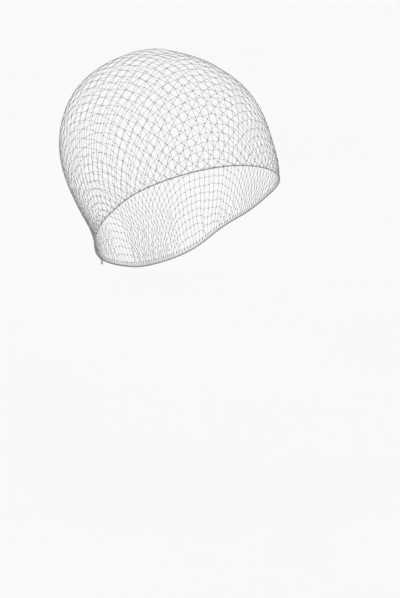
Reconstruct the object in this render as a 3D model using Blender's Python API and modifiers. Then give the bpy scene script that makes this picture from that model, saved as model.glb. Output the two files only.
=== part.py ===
"""Hairnet in its worn form, Z up, metres.

The knotted net is one thin dome wall, open below. A closed elastic cord runs
round its lower edge, over the forehead in front and low at the nape behind.
Front is -Y, the wearer's left is +X, and the form is mirrored about X = 0.
The origin is the middle of the opening, on the line from the front of the
edge to its back.
"""

import math

import bpy
import numpy as np

# ---------------------------------------------------------------- sizes, mm
NET_WALL = 1.0           # wall that stands for the knotted net
CORD_DIAMETER = 1.0      # elastic cord in the lower edge
EDGE_GAP = 0.35          # clear gap between the wall's lower edge and the cord

# The dome is described by radii from a centre inside it.
DOME_CENTRE_Y = 8.0
DOME_CENTRE_Z = 5.0
# The origin of the part, in the same numbers as the two above.
ORIGIN_Y = -23.1
ORIGIN_Z = -29.2

# Inside radius of the dome, mm, one row per angle down from the crown.
SECTION_COLUMNS = ("angle", "front", "front_side", "side", "back_side", "back")
SECTIONS = (
    (0.0, 86.4, 86.4, 86.4, 86.4, 86.4),
    (15.0, 86.4, 87.1, 87.8, 89.7, 90.3),
    (30.0, 86.4, 86.8, 87.4, 91.3, 91.3),
    (45.0, 88.8, 87.6, 86.3, 91.6, 91.4),
    (60.0, 93.0, 87.4, 83.1, 89.7, 91.5),
    (75.0, 96.8, 87.1, 77.8, 86.4, 90.3),
    (90.0, 102.5, 88.6, 73.6, 81.9, 85.9),
    (105.0, 107.8, 86.7, 71.1, 77.1, 82.2),
    (120.0, 116.9, 90.4, 72.6, 73.8, 77.0),
    (135.0, 136.8, 97.1, 77.7, 75.0, 76.0),
    (152.0, 195.0, 121.0, 98.3, 91.0, 86.4),
    (162.0, 233.0, 137.0, 112.0, 102.0, 94.0),
)

# Height of the cord's middle, mm, by angle round from the front.
EDGE_COLUMNS = ("round", "height")
EDGE = (
    (0.0, 18.6),
    (20.0, 13.9),
    (40.0, 0.6),
    (60.0, -18.4),
    (80.0, -34.1),
    (100.0, -47.7),
    (120.0, -63.0),
    (140.0, -71.8),
    (160.0, -75.5),
    (180.0, -76.9),
)

WALL_COLUMNS = 72        # faces round the dome
WALL_ROWS = 24           # faces from the crown to the edge
CORD_POINTS = 108        # points along the cord


# ---------------------------------------------------------------- form
def natural_spline(x, y, at):
    """Natural cubic spline through (x, y), read at the points `at`."""
    x, y, at = (np.asarray(v, float) for v in (x, y, at))
    n = len(x)
    h = np.diff(x)
    system = np.eye(n)
    right = np.zeros((n,) + y.shape[1:])
    for i in range(1, n - 1):
        system[i, i - 1 : i + 2] = h[i - 1], 2 * (h[i - 1] + h[i]), h[i]
        right[i] = 6 * ((y[i + 1] - y[i]) / h[i] - (y[i] - y[i - 1]) / h[i - 1])
    bend = np.linalg.solve(system, right)
    k = np.clip(np.searchsorted(x, at) - 1, 0, n - 2)
    t = at - x[k]
    w = h[k]
    if y.ndim > 1:
        t, w = t[..., None], w[..., None]
    slope = (y[k + 1] - y[k]) / w - w * (2 * bend[k] + bend[k + 1]) / 6
    return y[k] + t * (slope + t * (bend[k] / 2 + t * (bend[k + 1] - bend[k]) / (6 * w)))


ROUND_STEPS = np.radians([0.0, 45.0, 90.0, 135.0, 180.0])
WAVES = np.arange(5)
WAVE_TABLE = np.linalg.solve(
    np.cos(np.outer(ROUND_STEPS, WAVES)),
    np.array([row[1:] for row in SECTIONS]).T,
).T
DOWN_STEPS = np.radians([row[0] for row in SECTIONS])


def dome(down, around, out=0.0):
    """Points of the dome, mm: `down` from the crown and `around` from the front, in radians."""
    down, around = np.broadcast_arrays(np.asarray(down, float), np.asarray(around, float))
    waves = natural_spline(DOWN_STEPS, WAVE_TABLE, down)
    radius = (waves * np.cos(around[..., None] * WAVES)).sum(-1) + out
    return np.stack(
        [
            radius * np.sin(down) * np.sin(around),
            DOME_CENTRE_Y - ORIGIN_Y - radius * np.sin(down) * np.cos(around),
            DOME_CENTRE_Z - ORIGIN_Z + radius * np.cos(down),
        ],
        -1,
    )


def edge_height(around):
    """Height of the cord's middle at an angle round from the front, mirrored left and right."""
    turn = np.abs((np.asarray(around, float) + math.pi) % (2 * math.pi) - math.pi)
    mirrored = [(-a, z) for a, z in EDGE[:0:-1]] + list(EDGE)
    table = np.array(mirrored + [(200.0, EDGE[-2][1])])
    table = np.vstack([(-200.0, EDGE[-2][1]), table])
    return natural_spline(np.radians(table[:, 0]), table[:, 1], turn) - ORIGIN_Z


def edge_down(around):
    """Angle down from the crown where the dome reaches the cord's height."""
    low = np.full(np.shape(around), math.radians(50.0))
    high = np.full(np.shape(around), math.radians(162.0))
    height = edge_height(around)
    for _ in range(40):
        middle = (low + high) / 2
        above = dome(middle, around)[..., 2] > height
        low, high = np.where(above, middle, low), np.where(above, high, middle)
    return (low + high) / 2


# ---------------------------------------------------------------- objects
def clear_scene():
    for item in list(bpy.data.objects):
        bpy.data.objects.remove(item, do_unlink=True)


def material(name, colour, roughness):
    made = bpy.data.materials.new(name)
    made.use_nodes = True
    shader = made.node_tree.nodes["Principled BSDF"]
    shader.inputs["Base Color"].default_value = (*colour, 1.0)
    shader.inputs["Roughness"].default_value = roughness
    return made


def shade(mesh, angle=40.0):
    mesh.polygons.foreach_set("use_smooth", [True] * len(mesh.polygons))
    mesh.set_sharp_from_angle(angle=math.radians(angle))


def net_cap(collection):
    """Dome wall: an open surface from the crown to just above the cord, thickened outwards."""
    around = np.linspace(0, 2 * math.pi, WALL_COLUMNS, endpoint=False)
    last = edge_down(around)
    # The wall stops short of the cord by its radius and the gap, measured along the dome.
    stop = CORD_DIAMETER / 2 + EDGE_GAP
    step = np.linalg.norm(dome(last, around) - dome(last - 0.01, around), axis=-1) / 0.01
    last = last - stop / step
    # Rows are parallel to the edge low down and to the crown's circle high up.
    share = np.linspace(0, 1, WALL_ROWS + 1)[1:]
    points = [dome(0.0, 0.0)]
    for s in share:
        points.extend(dome(last * s, around))
    faces = []
    for i in range(WALL_COLUMNS):
        faces.append((0, 1 + i, 1 + (i + 1) % WALL_COLUMNS))
    for row in range(WALL_ROWS - 1):
        a = 1 + row * WALL_COLUMNS
        b = a + WALL_COLUMNS
        for i in range(WALL_COLUMNS):
            j = (i + 1) % WALL_COLUMNS
            faces.append((a + i, b + i, b + j, a + j))
    mesh = bpy.data.meshes.new("net_cap")
    mesh.from_pydata([tuple(p / 1000) for p in points], [], faces)
    mesh.update()
    cap = bpy.data.objects.new("net_cap", mesh)
    collection.objects.link(cap)
    wall = cap.modifiers.new("wall", "SOLIDIFY")
    wall.thickness = NET_WALL / 1000
    wall.offset = 1.0
    wall.use_even_offset = True
    wall.use_rim = True
    shade(mesh)
    mesh.materials.append(material("net_thread", (0.72, 0.71, 0.70), 0.55))
    return cap


def edge_elastic(collection):
    """Closed cord round the lower edge, its inner side level with the dome's inside."""
    around = np.linspace(0, 2 * math.pi, CORD_POINTS, endpoint=False)
    path = dome(edge_down(around), around, CORD_DIAMETER / 2)
    curve = bpy.data.curves.new("edge_elastic", "CURVE")
    curve.dimensions = "3D"
    curve.bevel_depth = CORD_DIAMETER / 2000
    curve.bevel_resolution = 2
    curve.resolution_u = 1
    line = curve.splines.new("POLY")
    line.points.add(len(path) - 1)
    for point, place in zip(line.points, path):
        point.co = (*(place / 1000), 1.0)
    line.use_cyclic_u = True
    cord = bpy.data.objects.new("edge_elastic", curve)
    collection.objects.link(cord)
    line.use_smooth = True
    curve.materials.append(material("elastic_cord", (0.78, 0.76, 0.74), 0.6))
    return cord


def main():
    clear_scene()
    hairnet = bpy.data.collections.new("hairnet")
    bpy.context.scene.collection.children.link(hairnet)
    net_cap(hairnet)
    edge_elastic(hairnet)


main()
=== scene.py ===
import math

import bpy
import numpy as np
from mathutils import Matrix, Vector


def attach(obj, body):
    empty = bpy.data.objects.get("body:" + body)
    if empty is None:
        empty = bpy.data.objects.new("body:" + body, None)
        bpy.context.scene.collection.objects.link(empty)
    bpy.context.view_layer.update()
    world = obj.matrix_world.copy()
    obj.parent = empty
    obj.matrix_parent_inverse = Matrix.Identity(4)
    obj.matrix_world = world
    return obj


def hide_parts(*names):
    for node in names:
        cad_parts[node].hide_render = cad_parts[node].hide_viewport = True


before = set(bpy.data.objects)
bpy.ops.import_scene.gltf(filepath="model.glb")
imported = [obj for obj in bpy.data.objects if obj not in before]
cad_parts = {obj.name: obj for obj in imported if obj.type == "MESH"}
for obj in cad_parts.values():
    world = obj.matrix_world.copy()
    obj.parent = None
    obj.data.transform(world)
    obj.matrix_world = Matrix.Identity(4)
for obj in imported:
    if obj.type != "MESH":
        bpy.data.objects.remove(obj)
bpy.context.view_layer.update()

# ---------------------------------------------------------------- camera ----
# Millimetres in the row frame; the axis is turned towards the net, with no shift.
CAMERA_PLACE = (-683.0, -1151.7, 206.9)
CAMERA_TURN = 31.210  # degrees, clockwise seen from above, from +Y
CAMERA_DIP = -11.358
CAMERA_LEAN = 1.052
CAMERA_FOCUS = 1790.7  # pixels, of an image 598 high
IMAGE_HIGH = 598

# ------------------------------------------------------- shape of the cap ----
# The same tables as the solid's: inside radius in mm by angle down from the crown.
CORD_DIAMETER = 1.0
DOME_CENTRE_Y = 8.0
DOME_CENTRE_Z = 5.0
ORIGIN_Y = -23.1
ORIGIN_Z = -29.2
SECTION_COLUMNS = ("angle", "front", "front_side", "side", "back_side", "back")
SECTIONS = (
    (0.0, 86.4, 86.4, 86.4, 86.4, 86.4),
    (15.0, 86.4, 87.1, 87.8, 89.7, 90.3),
    (30.0, 86.4, 86.8, 87.4, 91.3, 91.3),
    (45.0, 88.8, 87.6, 86.3, 91.6, 91.4),
    (60.0, 93.0, 87.4, 83.1, 89.7, 91.5),
    (75.0, 96.8, 87.1, 77.8, 86.4, 90.3),
    (90.0, 102.5, 88.6, 73.6, 81.9, 85.9),
    (105.0, 107.8, 86.7, 71.1, 77.1, 82.2),
    (120.0, 116.9, 90.4, 72.6, 73.8, 77.0),
    (135.0, 136.8, 97.1, 77.7, 75.0, 76.0),
    (152.0, 195.0, 121.0, 98.3, 91.0, 86.4),
    (162.0, 233.0, 137.0, 112.0, 102.0, 94.0),
)
EDGE_COLUMNS = ("round", "height")
EDGE = (
    (0.0, 18.6),
    (20.0, 13.9),
    (40.0, 0.6),
    (60.0, -18.4),
    (80.0, -34.1),
    (100.0, -47.7),
    (120.0, -63.0),
    (140.0, -71.8),
    (160.0, -75.5),
    (180.0, -76.9),
)

# ------------------------------------------------------------- the net ----
THREAD_DIAMETER = 0.24
THREAD_LIFT = 0.22  # thread's middle over the inside of the cap
SIDE_DOWN = 6.96  # mesh side along the strands that fall gently, mm
SIDE_STEEP = 7.14  # and along the steep ones
MESH_SIDE = 7.05
SEED_DOWN = 60.215  # a knot low at the right front, degrees
SEED_ROUND = -30.12
STRAND_COLUMNS = ("name", "heading", "bend_ahead", "bend_behind")
STRANDS = (("gentle", 50.396, 0.0165, 0.0166), ("steep", -22.487, 0.0031, 0.0018))
GRID_HALF = 44
LAID_HALF = 22
LAID_ANGLES = (48.0, 132.0)
LAID_REACH = 34.0  # how far from the seed the laid knots draw the rest, mm
LAID_PULL = 0.3
# The last row of knots is the one whose two counts add up to EDGE_ROW. It is evenly spaced
# from counts EDGE_FIRST to EDGE_LAST, round the front and the right side.
EDGE_ROW = 7
EDGE_FIRST, EDGE_LAST = -9, 14
EDGE_START = -70.5  # of count 0, mm along the elastic from the middle of the front
EDGE_SPACING = 8.3
EDGE_OVER = 3.9  # the last row's height over the elastic, mm
EDGE_KEEP = 0.08  # how firmly the other edge knots keep the place they drift to
# slack: how hard a side resists being short. bend: how straight the strands run.
EASE_COLUMNS = ("rounds", "slack", "bend", "least", "shear")
EASE = ((400, 0.9, 0.15, 3.0, 0.5), (500, 0.5, 0.12, 3.0, 0.5))
KNOT_SIZE = 1.1
KNOT_THREAD = 0.34  # the thread as drawn in a knot, where it lies doubled
SLACK_COLUMNS = ("down", "round", "reach", "lift")
SLACK = ((13.0, 190.0, 15.0, 2.3), (11.0, 120.0, 12.0, 0.9))
JITTER = 0.22  # unevenness of the knots, mm

# ------------------------------------------------------------ the elastic ----
CORD_STEPS = 2400
CORD_SIDES = 24
COVER_STARTS = 6  # yarns wound side by side
COVER_PITCH = 0.8  # from one yarn to the next along the cord, mm
COVER_RELIEF = 0.03
JOIN_RUN = -199.5  # the join's place along the elastic, mm
JOIN_TAIL_COLUMNS = ("sideways", "length")
JOIN_TAILS = ((1.0, 4.6), (-1.0, 3.4))


def natural_spline(x, y, at):
    x, y, at = (np.asarray(v, float) for v in (x, y, at))
    n = len(x)
    h = np.diff(x)
    system = np.eye(n)
    right = np.zeros((n,) + y.shape[1:])
    for i in range(1, n - 1):
        system[i, i - 1 : i + 2] = h[i - 1], 2 * (h[i - 1] + h[i]), h[i]
        right[i] = 6 * ((y[i + 1] - y[i]) / h[i] - (y[i] - y[i - 1]) / h[i - 1])
    bend = np.linalg.solve(system, right)
    k = np.clip(np.searchsorted(x, at) - 1, 0, n - 2)
    t = at - x[k]
    w = h[k]
    if y.ndim > 1:
        t, w = t[..., None], w[..., None]
    slope = (y[k + 1] - y[k]) / w - w * (2 * bend[k] + bend[k + 1]) / 6
    return y[k] + t * (slope + t * (bend[k] / 2 + t * (bend[k + 1] - bend[k]) / (6 * w)))


ROUND_STEPS = np.radians([0.0, 45.0, 90.0, 135.0, 180.0])
WAVES = np.arange(5)
WAVE_TABLE = np.linalg.solve(
    np.cos(np.outer(ROUND_STEPS, WAVES)), np.array([row[1:] for row in SECTIONS]).T
).T
DOWN_STEPS = np.radians([row[0] for row in SECTIONS])
CENTRE = np.array([0.0, DOME_CENTRE_Y - ORIGIN_Y, DOME_CENTRE_Z - ORIGIN_Z])
FINE_STEP = math.radians(0.5)
FINE_WAVES = natural_spline(DOWN_STEPS, WAVE_TABLE, np.arange(0, math.radians(162.3), FINE_STEP))


def dome(down, around, out=0.0):
    """Points of the cap, mm: down from the crown, around from the front, towards +X."""
    down, around = np.broadcast_arrays(np.asarray(down, float), np.asarray(around, float))
    x = np.clip(down / FINE_STEP, 0, len(FINE_WAVES) - 1.001)
    k = x.astype(int)
    t = (x - k)[..., None]
    waves = FINE_WAVES[k] * (1 - t) + FINE_WAVES[k + 1] * t
    r = (waves * np.cos(around[..., None] * WAVES)).sum(-1) + out
    ways = (np.sin(down) * np.sin(around), -np.sin(down) * np.cos(around), np.cos(down))
    return CENTRE + np.stack([r * way for way in ways], -1)


def edge_height(around):
    turn = np.abs((np.asarray(around, float) + math.pi) % (2 * math.pi) - math.pi)
    table = np.array(
        [(-200.0, EDGE[-2][1])]
        + [(-a, z) for a, z in EDGE[:0:-1]]
        + list(EDGE)
        + [(200.0, EDGE[-2][1])]
    )
    return natural_spline(np.radians(table[:, 0]), table[:, 1], turn) - ORIGIN_Z


def edge_down(around):
    low = np.full(np.shape(around), math.radians(50.0))
    high = np.full(np.shape(around), math.radians(162.0))
    for _ in range(40):
        middle = (low + high) / 2
        above = dome(middle, around)[..., 2] > edge_height(around)
        low = np.where(above, middle, low)
        high = np.where(above, high, middle)
    return (low + high) / 2


def angles(p):
    q = p - CENTRE
    r = np.linalg.norm(q, axis=-1)
    return np.arccos(np.clip(q[..., 2] / r, -1, 1)), np.arctan2(q[..., 0], -q[..., 1])


def on_dome(p, out=THREAD_LIFT):
    down, around = angles(p)
    return dome(down, around, out)


def unit(v):
    return v / np.maximum(np.linalg.norm(v, axis=-1, keepdims=True), 1e-9)


def normal(p, h=0.5):
    u = unit(p - CENTRE)
    a = unit(np.cross(u, np.where(np.abs(u[..., 2:]) < 0.9, (0, 0, 1.0), (1.0, 0, 0))))
    b = np.cross(u, a)
    n = unit(np.cross(on_dome(p + h * a) - on_dome(p - h * a), on_dome(p + h * b) - on_dome(p - h * b)))
    return n * np.sign((n * u).sum(-1, keepdims=True))


RIM_ROUND = np.radians(np.arange(0, 360, 0.5))
RIM_DOWN = edge_down(RIM_ROUND)
RIM = dome(RIM_DOWN, RIM_ROUND, CORD_DIAMETER / 2)


RIM_RUN = np.r_[0, np.cumsum(np.linalg.norm(np.diff(RIM, axis=0), axis=-1))]
RIM_LENGTH = RIM_RUN[-1] + np.linalg.norm(RIM[0] - RIM[-1])


def rim_run(p):
    """How far along the elastic from the middle of the front a point is, mm, towards +X."""
    around = angles(p)[1] % (2 * math.pi)
    run = np.interp(around, np.r_[RIM_ROUND, 2 * math.pi], np.r_[RIM_RUN, RIM_LENGTH])
    return np.where(run > RIM_LENGTH / 2, run - RIM_LENGTH, run)


def rim_round(run):
    return np.interp(run % RIM_LENGTH, np.r_[RIM_RUN, RIM_LENGTH], np.r_[RIM_ROUND, 2 * math.pi])


def rim_point(run):
    around = rim_round(run)
    return dome(edge_down(around), around, CORD_DIAMETER / 2)


def over_rim(run, height):
    """Points of the net this far up from the elastic."""
    around = rim_round(run)
    high = edge_down(around)
    low = high - math.radians(25)
    base = rim_point(run)
    for _ in range(25):
        middle = (low + high) / 2
        far = np.linalg.norm(dome(middle, around, THREAD_LIFT) - base, axis=-1) > height
        low, high = np.where(far, middle, low), np.where(far, high, middle)
    return dome((low + high) / 2, around, THREAD_LIFT)


def above_edge(p):
    """Distance from the elastic's middle, mm, positive on the net's side."""
    flat = p.reshape(-1, 3)
    far = np.empty(len(flat))
    for s in range(0, len(flat), 2000):
        far[s : s + 2000] = np.linalg.norm(flat[s : s + 2000, None] - RIM, axis=-1).min(1)
    down, around = angles(flat)
    edge = np.interp(around % (2 * math.pi), np.r_[RIM_ROUND, 2 * math.pi], np.r_[RIM_DOWN, RIM_DOWN[:1]])
    return np.where(down < edge, far, -far).reshape(p.shape[:-1])


def facing(p, eye):
    return (normal(p) * unit(eye - p)).sum(-1)


# ------------------------------------------------ laying the front's meshes ----
def walk(start, heading, side, bend, count):
    """Knots along one strand that turns by bend at each knot."""
    knots = [start]
    for _ in range(count):
        n = normal(knots[-1])
        heading = unit(heading - n * (heading @ n))
        across = np.cross(n, heading)
        knot = knots[-1] + (heading * math.cos(bend / 2) + across * math.sin(bend / 2)) * side
        for _ in range(3):
            knot = knots[-1] + unit(on_dome(knot) - knots[-1]) * side
        knot = on_dome(knot)
        n = normal(knot)
        way = knot - knots[-1]
        heading = unit(way - n * (way @ n))
        heading = heading * math.cos(bend / 2) + np.cross(n, heading) * math.sin(bend / 2)
        knots.append(knot)
    return np.array(knots)


def fill_in(first, second, side_a, side_b):
    """Knots between two strands that meet at one end, each a mesh side from its two elders."""
    n, m = len(first) - 1, len(second) - 1
    grid = np.full((n + 1, m + 1, 3), np.nan)
    grid[:, 0], grid[0, :] = first, second
    for s in range(2, n + m + 1):
        i = np.arange(max(1, s - m), min(n, s - 1) + 1)
        j = s - i
        if not len(i):
            continue
        a, b = grid[i - 1, j], grid[i, j - 1]
        knot = a + b - grid[i - 1, j - 1]
        for turn in range(4):
            knot = on_dome(knot)
            if turn < 2:
                n3 = normal(knot)
            gap = []
            for elder, side in ((a, side_a), (b, side_b)):
                way = knot - elder
                length = np.linalg.norm(way, axis=-1)
                way = way / length[:, None]
                way = way - n3 * (way * n3).sum(-1)[:, None]
                gap.append((way, side - length))
            (ua, ea), (ub, eb) = gap
            aa, ab, bb = (ua * ua).sum(-1), (ua * ub).sum(-1), (ub * ub).sum(-1)
            det = aa * bb - ab**2
            det = np.where(np.abs(det) < 0.02, 0.02, det)
            move = ua * ((ea * bb - eb * ab) / det)[:, None] + ub * ((eb * aa - ea * ab) / det)[:, None]
            length = np.linalg.norm(move, axis=-1, keepdims=True)
            knot = knot + move * np.minimum(1, 2.0 / np.maximum(length, 1e-9))
        grid[i, j] = on_dome(knot)
    return grid


def lay_brow(half):
    start = dome(math.radians(SEED_DOWN), math.radians(SEED_ROUND), THREAD_LIFT)
    step = 1e-3
    down, around = angles(start)
    fall = unit(dome(down + step, around) - dome(down - step, around))
    across = np.cross(normal(start), fall)
    lines = []
    for (_, heading, ahead, behind), side in zip(STRANDS, (SIDE_DOWN, SIDE_STEEP)):
        way = fall * math.cos(math.radians(heading)) + across * math.sin(math.radians(heading))
        lines += [walk(start, way, side, ahead, half), walk(start, -way, side, behind, half)]
    grid = np.full((2 * half + 1, 2 * half + 1, 3), np.nan)
    grid[half:, half:] = fill_in(lines[0], lines[2], SIDE_DOWN, SIDE_STEEP)
    grid[half:, : half + 1] = fill_in(lines[0], lines[3], SIDE_DOWN, SIDE_STEEP)[:, ::-1]
    grid[: half + 1, half:] = fill_in(lines[1], lines[2], SIDE_DOWN, SIDE_STEEP)[::-1]
    grid[: half + 1, : half + 1] = fill_in(lines[1], lines[3], SIDE_DOWN, SIDE_STEEP)[::-1, ::-1]
    return grid


# -------------------------------------------- carrying the net all the way ----
ARC_DOWN = np.radians(np.arange(0, 162, 1.0))
ARC_ROUND = np.radians(np.arange(0, 361, 3.0))
ARC_POINTS = dome(ARC_DOWN[:, None], ARC_ROUND[None, :], THREAD_LIFT)
ARC = np.concatenate(
    [np.zeros((1, len(ARC_ROUND))), np.cumsum(np.linalg.norm(np.diff(ARC_POINTS, axis=0), axis=-1), axis=0)]
)


def arc_length(down, around):
    k = np.clip(down / math.radians(1.0), 0, len(ARC_DOWN) - 1.001)
    i = k.astype(int)
    t = k - i
    a = (around % (2 * math.pi)) / math.radians(3.0)
    j = np.clip(a.astype(int), 0, len(ARC_ROUND) - 2)
    s = a - j
    return (ARC[i, j] * (1 - t) + ARC[i + 1, j] * t) * (1 - s) + (ARC[i, j + 1] * (1 - t) + ARC[i + 1, j + 1] * t) * s


def flat_of(p):
    down, around = angles(p)
    r = arc_length(down, around)
    return np.stack([r * np.sin(around), -r * np.cos(around)], -1)


def dome_of(flat):
    r = np.linalg.norm(flat, axis=-1)
    around = np.arctan2(flat[..., 0], -flat[..., 1])
    low, high = np.zeros(r.shape), np.full(r.shape, ARC_DOWN[-1])
    for _ in range(30):
        middle = (low + high) / 2
        short = arc_length(middle, around) < r
        low, high = np.where(short, middle, low), np.where(short, high, middle)
    return dome((low + high) / 2, around, THREAD_LIFT), r < ARC[-1].min()


def relax(p, have, held, pull, target, rounds, slack, bend, least, shear):
    """Springs over the dome: sides keep their length, strands run smooth, meshes don't shut."""
    move = have & ~held
    drawn = (move & (pull > 0))[..., None]
    cut = lambda a, b: slice(a, b)
    every = slice(None)
    for _ in range(rounds):
        push = np.zeros_like(p)
        count = np.zeros(have.shape)
        q = np.where(have[..., None], p, 0)
        for axis in (0, 1):
            a, b = ((cut(0, -1), every), (cut(1, None), every)) if axis == 0 else ((every, cut(0, -1)), (every, cut(1, None)))
            ok = have[a] & have[b]
            way = q[b] - q[a]
            d = np.where(ok, np.maximum(np.linalg.norm(way, axis=-1), 1e-6), 1)
            e = d - MESH_SIDE
            c = way / d[..., None] * (e * np.where(e > 0, 1.0, slack) * 0.5 * ok)[..., None]
            push[a] += c
            push[b] -= c
            count[a] += ok
            count[b] += ok
            if axis == 0:
                l, c0, r = (cut(0, -2), every), (cut(1, -1), every), (cut(2, None), every)
            else:
                l, c0, r = (every, cut(0, -2)), (every, cut(1, -1)), (every, cut(2, None))
            ok = have[l] & have[c0] & have[r]
            push[c0] += ((q[l] + q[r]) / 2 - q[c0]) * (ok * bend * 4)[..., None]
        for a, b in (
            ((cut(0, -1), cut(0, -1)), (cut(1, None), cut(1, None))),
            ((cut(1, None), cut(0, -1)), (cut(0, -1), cut(1, None))),
        ):
            ok = have[a] & have[b]
            way = q[b] - q[a]
            d = np.where(ok, np.maximum(np.linalg.norm(way, axis=-1), 1e-6), 99)
            c = way / d[..., None] * (np.minimum(d - least, 0) * 0.5 * shear * ok)[..., None]
            push[a] += c
            push[b] -= c
        step = push * np.where(move, 1.3 / np.maximum(count, 2), 0)[..., None]
        length = np.linalg.norm(step, axis=-1, keepdims=True)
        step *= np.minimum(1, 1.5 / np.maximum(length, 1e-9))
        step += np.where(drawn, pull[..., None] * (target - p), 0)
        p = np.where(move[..., None], on_dome(np.where(move[..., None], p + step, CENTRE + 1.0)), p)
    return p


def reach_from(have, start):
    """The part of a grid of flags that joins up with one cell."""
    got = np.zeros_like(have)
    got[start] = have[start]
    while True:
        more = got.copy()
        more[1:] |= got[:-1]
        more[:-1] |= got[1:]
        more[:, 1:] |= got[:, :-1]
        more[:, :-1] |= got[:, 1:]
        more &= have
        if (more == got).all():
            return got
        got = more


def neighbours(have):
    count = np.zeros(have.shape, int)
    count[1:] += have[:-1]
    count[:-1] += have[1:]
    count[:, 1:] += have[:, :-1]
    count[:, :-1] += have[:, 1:]
    return count


def edge_loop(p, kept, i, j):
    """The edge knots in order round the net, and each one's place along the elastic."""
    edge = kept & (neighbours(kept) < 4)
    order = np.argsort(np.arctan2(j[edge] - j[kept].mean(), i[edge] - i[kept].mean()))
    i, j = i[edge][order], j[edge][order]
    row = (i + j == EDGE_ROW) & (i >= EDGE_FIRST) & (i <= EDGE_LAST)
    last = [k for k in range(len(i)) if row[k] and not row[(k + 1) % len(i)]][-1]
    i, j, row = (np.roll(v, -last - 1) for v in (i, j, row))
    cells = (i + GRID_HALF, j + GRID_HALF)
    set_runs = EDGE_START + EDGE_SPACING * i
    loose = np.nonzero(~row)[0]
    count = len(loose)
    first, after = set_runs[-1], set_runs[row][0]
    way = 1.0 if first > after else -1.0
    after += way * RIM_LENGTH
    drift = first + way * ((way * (rim_run(p[cells])[loose] - first)) % RIM_LENGTH)
    # spacing fades from the row's to an even one, and each knot keeps near where it drifted
    k = np.arange(count + 1)
    fade = np.exp(-k / 5.0) + np.exp(-(count - k) / 5.0)
    even = (abs(after - first) - EDGE_SPACING * fade.sum()) / (1 - fade).sum()
    gaps = way * (even + (EDGE_SPACING - even) * fade)
    system = np.zeros((2 * count + 1, count))
    right = np.r_[gaps, EDGE_KEEP * drift]
    right[0] += first
    right[count] -= after
    steps = np.arange(count)
    system[steps, steps] = 1
    system[steps + 1, steps] = -1
    system[count + 1 + steps, steps] = EDGE_KEEP
    runs = set_runs + way * RIM_LENGTH
    runs[loose] = np.linalg.lstsq(system, right, rcond=None)[0]
    return cells, runs


def make_net():
    eye = np.array(CAMERA_PLACE)
    n = GRID_HALF
    grid = np.full((2 * n + 1, 2 * n + 1, 3), np.nan)
    h = LAID_HALF + 4
    grid[n - h : n + h + 1, n - h : n + h + 1] = lay_brow(h)
    i, j = np.meshgrid(np.arange(2 * n + 1) - n, np.arange(2 * n + 1) - n, indexing="ij")
    near = (np.maximum(abs(i), abs(j)) <= LAID_HALF) & np.isfinite(grid[..., 0])
    seen = np.full(near.shape, -1.0)
    seen[near] = facing(grid[near], eye)
    over = np.full(near.shape, -99.0)
    over[near] = above_edge(grid[near])
    angle = np.zeros(near.shape)
    a, b = unit(grid[1:, :-1] - grid[:-1, :-1]), unit(grid[:-1, 1:] - grid[:-1, :-1])
    angle[:-1, :-1] = np.degrees(np.arccos(np.clip((a * b).sum(-1), -1, 1)))
    laid = near & (seen > 0.15) & (over > -9) & (angle > LAID_ANGLES[0]) & (angle < LAID_ANGLES[1])
    laid = reach_from(laid, (n, n))
    # where the laid knots lie on the cap rolled out flat about its crown
    flat = flat_of(grid[laid])
    spot = np.stack([i, j], -1)[laid].astype(float)
    crown = np.linalg.norm(flat, axis=-1) < 85
    za = spot[crown, 0] - 1j * spot[crown, 1]
    zx = flat[crown, 0] + 1j * flat[crown, 1]
    turn = ((zx - zx.mean()) * np.conj(za - za.mean())).sum()
    z = zx.mean() + turn / abs(turn) * MESH_SIDE * (i - 1j * j - za.mean())
    base = np.stack([z.real, z.imag], -1)
    rest = flat - base[laid]
    apart = np.linalg.norm(np.stack([i, j], -1).reshape(-1, 1, 2) - spot[None], axis=-1)
    weight = 1 / (apart**2 + 0.3) ** 2
    near_by = np.exp(-((apart.min(1) / 9.0) ** 2))[:, None]
    flat_all = (base.reshape(-1, 2) + (weight @ rest) / weight.sum(1)[:, None] * near_by).reshape(base.shape)
    p, inside = dome_of(flat_all)
    p[laid] = grid[laid]
    have = reach_from((inside & (above_edge(p) > -16)) | laid, (n, n))
    p = np.where(have[..., None], p, np.nan)
    apart = np.linalg.norm(np.where(have[..., None], p, 1e3) - grid[n, n], axis=-1)
    pull = np.where(laid & (seen > 0.3), LAID_PULL * np.exp(-((apart / LAID_REACH) ** 2)), 0)
    target = p.copy()
    # the last row, held at its even spacing, with nothing beyond it there
    row = (i + j == EDGE_ROW) & (i >= EDGE_FIRST) & (i <= EDGE_LAST)
    beyond = (i + j > EDGE_ROW) & (i >= EDGE_FIRST) & (j >= EDGE_ROW - EDGE_LAST)
    have = reach_from((have & ~beyond) | row, (n, n))
    p[row] = over_rim(EDGE_START + EDGE_SPACING * i[row], EDGE_OVER)
    p = np.where(have[..., None], p, np.nan)
    target = np.where(have[..., None], target, np.nan)
    p = relax(p, have, row, pull, target, *EASE[0])
    # cut the net off at the elastic
    over = np.full(have.shape, -99.0)
    over[have] = above_edge(p[have])
    kept = have & ((over > 2.0) | row)
    for _ in range(4):
        kept &= neighbours(kept) >= 2
    kept = reach_from(kept, (n, n))
    kept |= have & (neighbours(kept) >= 3)
    cells, runs = edge_loop(p, kept, i, j)
    p[cells] = over_rim(runs, EDGE_OVER)
    held = np.zeros_like(kept)
    held[cells] = True
    p = np.where(kept[..., None], p, np.nan)
    target = np.where(kept[..., None], target, np.nan)
    p = relax(p, kept, held, np.where(kept, pull, 0), target, *EASE[1])
    return p, kept, cells, runs


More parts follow.
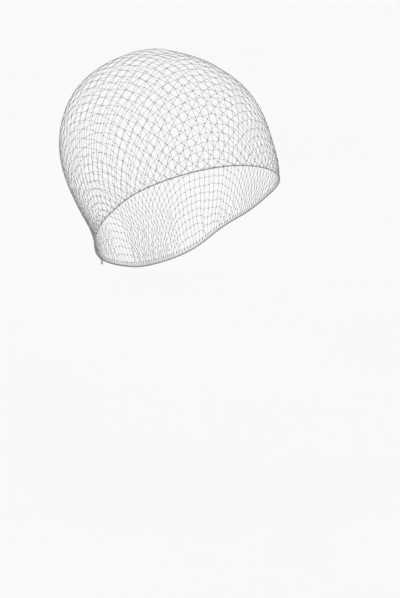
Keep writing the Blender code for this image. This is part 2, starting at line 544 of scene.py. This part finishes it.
# ---------------------------------------------------------------- meshes ----
def tube_mesh(paths, radius, sides, closed=False):
    """Tubes along paths (count, points, 3), each capped unless closed into a ring."""
    count, steps, _ = paths.shape
    if closed:
        along = np.roll(paths, -1, 1) - np.roll(paths, 1, 1)
    else:
        along = np.gradient(paths, axis=1)
    along = unit(along)
    out = unit(paths - CENTRE)
    if closed:
        middle = paths.mean(1, keepdims=True)
        out = unit(paths - middle)
    out = unit(out - along * (out * along).sum(-1, keepdims=True))
    side = np.cross(along, out)
    turn = np.arange(sides) * 2 * math.pi / sides
    r = np.broadcast_to(np.asarray(radius, float), (count, steps))[..., None, None]
    ring = out[:, :, None] * np.cos(turn)[:, None] + side[:, :, None] * np.sin(turn)[:, None]
    verts = (paths[:, :, None] + r * ring).reshape(-1, 3)
    index = np.arange(count * steps * sides).reshape(count, steps, sides)
    nxt = np.roll(index, -1, 1) if closed else index[:, 1:]
    cur = index if closed else index[:, :-1]
    quads = np.stack([cur, np.roll(cur, -1, 2), np.roll(nxt, -1, 2), nxt], -1).reshape(-1, 4)
    faces = [tuple(f) for f in quads[:, ::-1].tolist()]
    if not closed:
        faces += [tuple(f) for f in index[:, 0, :].tolist()]
        faces += [tuple(f[::-1]) for f in index[:, -1, :].tolist()]
    return verts, faces


def joined(parts):
    verts, faces, base = [], [], 0
    for v, f in parts:
        verts.append(v)
        faces += [tuple(k + base for k in face) for face in f]
        base += len(v)
    return np.concatenate(verts), faces


def piece(name, verts, faces, material):
    mesh = bpy.data.meshes.new(name)
    mesh.from_pydata((verts / 1000.0).tolist(), [], faces)
    mesh.update()
    mesh.polygons.foreach_set("use_smooth", [True] * len(mesh.polygons))
    mesh.materials.append(material)
    obj = bpy.data.objects.new(name, mesh)
    bpy.context.scene.collection.objects.link(obj)
    return obj


# ------------------------------------------------------------- materials ----
def node_material(name):
    m = bpy.data.materials.new(name)
    m.use_nodes = True
    t = m.node_tree
    return m, t, t.nodes["Principled BSDF"]


def noise(t, scale, detail=3.0, roughness=0.6, coords=None):
    n = t.nodes.new("ShaderNodeTexNoise")
    n.inputs["Scale"].default_value = scale
    n.inputs["Detail"].default_value = detail
    n.inputs["Roughness"].default_value = roughness
    t.links.new(coords, n.inputs["Vector"])
    return n.outputs["Fac"]


def ramp(t, fac, stops):
    r = t.nodes.new("ShaderNodeValToRGB")
    e = r.color_ramp.elements
    while len(e) < len(stops):
        e.new(0.5)
    for k, (at, colour) in enumerate(stops):
        e[k].position = at
        e[k].color = (*colour, 1.0)
    t.links.new(fac, r.inputs["Fac"])
    return r.outputs["Color"]


def thread_material(name, dark, pale, rough, scale, bump):
    m, t, b = node_material(name)
    coords = t.nodes.new("ShaderNodeTexCoord").outputs["Object"]
    t.links.new(ramp(t, noise(t, scale, 4.0, 0.6, coords), ((0.32, dark), (0.72, pale))), b.inputs["Base Color"])
    r = t.nodes.new("ShaderNodeMapRange")
    r.inputs["To Min"].default_value = rough - 0.08
    r.inputs["To Max"].default_value = rough + 0.10
    t.links.new(noise(t, scale * 2.5, 2.0, 0.5, coords), r.inputs["Value"])
    t.links.new(r.outputs["Result"], b.inputs["Roughness"])
    bm = t.nodes.new("ShaderNodeBump")
    bm.inputs["Strength"].default_value = bump
    bm.inputs["Distance"].default_value = 0.00003
    t.links.new(noise(t, scale * 9, 3.0, 0.6, coords), bm.inputs["Height"])
    t.links.new(bm.outputs["Normal"], b.inputs["Normal"])
    b.inputs["Sheen Weight"].default_value = 0.25
    b.inputs["Sheen Roughness"].default_value = 0.4
    b.inputs["Specular IOR Level"].default_value = 0.5
    return m


net_thread = thread_material("net_thread", (0.17, 0.17, 0.175), (0.30, 0.297, 0.295), 0.46, 260.0, 0.5)
# the knots get a colour a shade darker than the thread's: painted shade of the crevices in their tight turns
net_knot = thread_material("net_knot", (0.14, 0.139, 0.139), (0.26, 0.257, 0.254), 0.50, 420.0, 0.7)
elastic = thread_material("elastic_cover", (0.26, 0.256, 0.256), (0.41, 0.403, 0.400), 0.52, 300.0, 0.8)
# painted shade: the cover's colour is darkened down between its yarns, where shade falls, by the height that each
# point of the cord has
t = elastic.node_tree
base = t.nodes["Principled BSDF"].inputs["Base Color"]
height = t.nodes.new("ShaderNodeAttribute")
height.attribute_name = "yarn_height"
groove_shade = ramp(t, height.outputs["Fac"], ((0.0, (0.55, 0.55, 0.55)), (0.75, (1.0, 1.0, 1.0))))
blend = t.nodes.new("ShaderNodeMix")
blend.data_type = "RGBA"
blend.blend_type = "MULTIPLY"
blend.inputs[0].default_value = 1.0
t.links.new(base.links[0].from_socket, blend.inputs[6])
t.links.new(groove_shade, blend.inputs[7])
t.links.new(blend.outputs[2], base)

# ----------------------------------------------------------------- build ----
rng = np.random.default_rng(61)
knots, kept, edge_cells, edge_runs = make_net()

# slight irregularity, and the slack spot over the crown
jitter = rng.normal(0, JITTER, knots.shape)
jitter[edge_cells] *= 0.5
safe = np.where(kept[..., None], knots, CENTRE + 1.0)
lift = np.zeros(knots.shape[:2])
for down, around, reach, high in SLACK:
    spot = dome(math.radians(down), math.radians(around), THREAD_LIFT)
    lift += high * np.exp(-((np.linalg.norm(safe - spot, axis=-1) / reach) ** 2))
lift *= rng.uniform(0.35, 1.0, lift.shape)
knots = on_dome(safe + jitter)
knots += unit(knots - CENTRE) * lift[..., None]


def proud(p):
    """How far points stand over the net's surface."""
    return np.linalg.norm(p - CENTRE, axis=-1) - np.linalg.norm(on_dome(p) - CENTRE, axis=-1)


def strand_paths(a, b, bow, steps):
    """From knot a to knot b over the dome, with a bow where the thread is longer than the gap."""
    share = np.linspace(0, 1, steps)
    line = on_dome(a[:, None] + (b - a)[:, None] * share[None, :, None])
    n = unit(line - CENTRE)
    line += n * (proud(a)[:, None] * (1 - share) + proud(b)[:, None] * share)[..., None]
    across = unit(np.cross(n, (b - a)[:, None]))
    return line + across * np.sin(math.pi * share)[None, :, None] * bow[:, None, None]


# the strands between the knots, the two ways of the net apart
nets, thread_run = [], 0.0
for axis, name in ((0, "net_threads_across"), (1, "net_threads_up")):
    a = (slice(0, -1), slice(None)) if axis == 0 else (slice(None), slice(0, -1))
    b = (slice(1, None), slice(None)) if axis == 0 else (slice(None), slice(1, None))
    both = kept[a] & kept[b]
    start, end = knots[a][both], knots[b][both]
    gap = np.linalg.norm(end - start, axis=-1)
    spare = np.clip(MESH_SIDE - gap, 0, None)
    bow = np.clip(0.25 * np.sqrt(0.375 * gap * spare), 0, 0.5)
    bow = bow * rng.choice((-1, 1), len(gap)) + rng.normal(0, 0.07, len(gap))
    thread_run += np.maximum(gap, MESH_SIDE).sum()
    parts = [tube_mesh(strand_paths(start, end, bow, 6), THREAD_DIAMETER / 2, 5)]
    if axis == 0:
        # The elastic runs through the last row of half meshes: the two legs of each leave
        # neighbouring edge knots and meet on it, halfway, in a loop round the cord.
        edge = knots[edge_cells]
        following = np.roll(edge, -1, 0)
        step = np.roll(edge_runs, -1) - edge_runs
        step = step - np.sign(step) * RIM_LENGTH * (np.abs(step) > RIM_LENGTH / 2)
        meet = edge_runs + step / 2
        cord_at = rim_point(meet)
        cord_way = unit(rim_point(meet + 0.5) - rim_point(meet - 0.5))
        cord_out = unit(cord_at - CENTRE)
        cord_out = unit(cord_out - cord_way * (cord_out * cord_way).sum(-1, keepdims=True))
        cord_up = np.cross(cord_out, cord_way)
        cord_up *= np.sign((cord_up * (edge - cord_at)).sum(-1, keepdims=True))
        lip = cord_at + (cord_out * 0.85 + cord_up * 0.5) * (CORD_DIAMETER / 2 + 0.05)
        for knot_at, thick in ((edge, 1.2), (following, 1.5)):
            ease = np.linspace(0, 1, 5)[None, :, None]
            legs = knot_at[:, None] * (1 - ease) + lip[:, None] * ease
            legs += cord_out[:, None] * np.sin(math.pi * ease) * 0.12
            thread_run += np.linalg.norm(lip - knot_at, axis=-1).sum()
            parts.append(tube_mesh(legs, THREAD_DIAMETER / 2 * thick, 5))
        turn = np.arange(10)[None, :, None] * 2 * math.pi / 10
        ring = CORD_DIAMETER / 2 + THREAD_DIAMETER / 2 - 0.02
        slant = rng.uniform(0.08, 0.22, (len(meet), 1, 1))
        rings = (
            cord_at[:, None]
            + (cord_out[:, None] * np.cos(turn) + cord_up[:, None] * np.sin(turn)) * ring
            + cord_way[:, None] * np.sin(turn + 0.6) * slant
        )
        thread_run += len(meet) * 2 * math.pi * ring
        parts.append(tube_mesh(rings, THREAD_DIAMETER / 2, 5, closed=True))
    nets.append(piece(name, *joined(parts), net_thread))

# knots: a tight turn of thread round each crossing
at = knots[kept]
u = normal(at)
ii, jj = np.nonzero(kept)
ahead = kept[np.minimum(ii + 1, len(kept) - 1), jj]
e1 = np.where(ahead[:, None], knots[np.minimum(ii + 1, len(kept) - 1), jj] - at, at - knots[ii - 1, jj])
e1 = unit(e1 - u * (e1 * u).sum(-1, keepdims=True))
spin = rng.uniform(-0.5, 0.5, len(at))[:, None]
e2 = np.cross(u, e1)
e1, e2 = e1 * np.cos(spin) + e2 * np.sin(spin), e2 * np.cos(spin) - e1 * np.sin(spin)
turn = (np.arange(12) * 2 * math.pi / 12)[None, :, None]
big = (KNOT_SIZE / 2 - KNOT_THREAD / 2) * rng.uniform(0.88, 1.14, len(at))[:, None, None]
loops = at[:, None] + u[:, None] * (0.06 - np.sin(3 * turn) * 0.13)
loops = loops + e1[:, None] * big * 1.15 * (np.sin(turn) + 1.6 * np.sin(2 * turn)) / 2.6
loops = loops + e2[:, None] * big * (np.cos(turn) - 1.6 * np.cos(2 * turn)) / 2.6
knot_pieces = []
for name, pick in (("net_knots_right", at[:, 0] < 0), ("net_knots_left", at[:, 0] >= 0)):
    knot_pieces.append(piece(name, *tube_mesh(loops[pick], KNOT_THREAD / 2, 5, closed=True), net_knot))
thread_run += len(at) * 3.5

# the elastic: a covered rubber cord, its cover wound of yarns side by side
even = np.arange(CORD_STEPS) * RIM_LENGTH / CORD_STEPS
middle = rim_point(even)
along = unit(np.roll(middle, -1, 0) - np.roll(middle, 1, 0))
out = unit(middle - CENTRE)
out = unit(out - along * (out * along).sum(-1, keepdims=True))
side = np.cross(along, out)
turn = np.arange(CORD_SIDES) * 2 * math.pi / CORD_SIDES
starts = round(RIM_LENGTH / COVER_PITCH)
wind = np.cos(COVER_STARTS * turn[None, :] + starts * 2 * math.pi * even[:, None] / RIM_LENGTH)
radius = CORD_DIAMETER / 2 - COVER_RELIEF + COVER_RELIEF * wind
ring = out[:, None] * np.cos(turn)[None, :, None] + side[:, None] * np.sin(turn)[None, :, None]
verts = middle[:, None] + radius[..., None] * ring
index = np.arange(CORD_STEPS * CORD_SIDES).reshape(CORD_STEPS, CORD_SIDES)
nxt = np.roll(index, -1, 0)
quads = np.stack([index, nxt, np.roll(nxt, -1, 1), np.roll(index, -1, 1)], -1).reshape(-1, 4)
parts = [(verts.reshape(-1, 3), [tuple(f) for f in quads.tolist()])]

# its ends are joined in a small knot low at the back, with two short tails
here = rim_point(np.array(JOIN_RUN))
way = unit(rim_point(np.array(JOIN_RUN + 1.0)) - rim_point(np.array(JOIN_RUN - 1.0)))
out = unit(here - CENTRE)
out = unit(out - way * (out @ way))
low = np.cross(way, out)
low = low if low[2] < 0 else -low
turn = (np.arange(36) * 2 * math.pi / 36)[:, None]
over_hand = (
    here
    + out * (0.35 + 0.35 * np.sin(3 * turn))
    + way * (np.sin(turn) + 2 * np.sin(2 * turn)) / 3 * 1.15
    + low * (np.cos(turn) - 2 * np.cos(2 * turn)) / 3 * 0.95
)
parts.append(tube_mesh(over_hand[None], CORD_DIAMETER / 2 * 0.82, 10, closed=True))
for sideways, length in JOIN_TAILS:
    t = np.linspace(0, 1, 14)[:, None]
    fall = low * (t * (1 - t)) + np.array((0, 0, -1.0)) * t * t
    tail = here + out * (0.35 + 0.3 * np.sin(math.pi * t)) + fall * length + way * sideways * (0.3 + 0.9 * t)
    width = CORD_DIAMETER / 2 * 0.84 * np.sqrt(np.clip(1 - ((t[:, 0] - 0.88) / 0.125).clip(0) ** 2, 0.08, 1))
    parts.append(tube_mesh(tail[None], width[None], 10))
cord = piece("edge_elastic_cord", *joined(parts), elastic)
# each point's height on the cover, which sets the painted shade between the yarns
yarn_height = np.full(len(cord.data.vertices), 0.8)
yarn_height[: wind.size] = 0.5 + 0.5 * wind.ravel()
cord.data.attributes.new("yarn_height", "FLOAT", "POINT").data.foreach_set("value", yarn_height)

for obj in (*nets, *knot_pieces, cord):
    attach(obj, "root")
for obj in nets:
    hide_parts("net_cap")
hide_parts("edge_elastic")
print("knots", int(kept.sum()), "edge knots", len(edge_runs), "thread mm", round(float(thread_run)), "elastic mm", round(float(RIM_LENGTH), 1))

# ----------------------------------------------------------------- stage ----
FLOOR_HEIGHT = -0.30
floor_mesh = bpy.data.meshes.new("floor")
w = 30.0
floor_mesh.from_pydata([(-w, -w, FLOOR_HEIGHT), (w, -w, FLOOR_HEIGHT), (w, w, FLOOR_HEIGHT), (-w, w, FLOOR_HEIGHT)], [], [(0, 1, 2, 3)])
floor = bpy.data.objects.new("floor", floor_mesh)
bpy.context.scene.collection.objects.link(floor)
m, t, b = node_material("studio_floor")
coords = t.nodes.new("ShaderNodeTexCoord").outputs["Object"]
t.links.new(ramp(t, noise(t, 1.4, 2.0, 0.5, coords), ((0.3, (0.886, 0.886, 0.886)), (0.7, (0.896, 0.896, 0.896)))), b.inputs["Base Color"])
b.inputs["Roughness"].default_value = 0.85
b.inputs["Specular IOR Level"].default_value = 0.1
floor_mesh.materials.append(m)

world = bpy.data.worlds.new("studio")
world.use_nodes = True
back = world.node_tree.nodes["Background"]
back.inputs["Color"].default_value = (1.0, 1.0, 1.0, 1.0)
back.inputs["Strength"].default_value = 0.95
bpy.context.scene.world = world


def soft_light(name, place, aim, spread, strength):
    data = bpy.data.lights.new(name, "SUN")
    data.angle = math.radians(spread)
    data.energy = strength
    obj = bpy.data.objects.new(name, data)
    obj.location = place
    obj.rotation_euler = (Vector(aim) - Vector(place)).to_track_quat("-Z", "Y").to_euler()
    bpy.context.scene.collection.objects.link(obj)


soft_light("key", (-1.1, -1.0, 1.4), (0, 0.02, 0.04), 50.0, 0.45)
soft_light("fill", (1.3, -0.9, 0.9), (0, 0.02, 0.04), 60.0, 0.15)

camera = bpy.data.cameras.new("camera")
camera.sensor_fit = "VERTICAL"
camera.sensor_height = 36.0
camera.lens = CAMERA_FOCUS * 36.0 / IMAGE_HIGH
camera.clip_start = 0.01
camera.clip_end = 100.0
cam = bpy.data.objects.new("camera", camera)
yaw, pitch, lean = (math.radians(x) for x in (CAMERA_TURN, CAMERA_DIP, CAMERA_LEAN))
forward = Vector((math.sin(yaw) * math.cos(pitch), math.cos(yaw) * math.cos(pitch), math.sin(pitch)))
right = Vector((math.cos(yaw), -math.sin(yaw), 0.0))
up = right.cross(forward)
tilt_right = right * math.cos(lean) + up * math.sin(lean)
tilt_up = up * math.cos(lean) - right * math.sin(lean)
place = Vector(CAMERA_PLACE) / 1000.0
rows = [(tilt_right[k], tilt_up[k], -forward[k], place[k]) for k in range(3)]
cam.matrix_world = Matrix((*rows, (0, 0, 0, 1)))
bpy.context.scene.collection.objects.link(cam)
bpy.context.scene.camera = cam

bpy.context.scene.view_settings.view_transform = "Standard"

bpy.context.view_layer.update()
for o in (*nets, *knot_pieces, cord):
    print(o.name, sum(len(p.vertices) - 2 for p in o.data.polygons), "triangles")
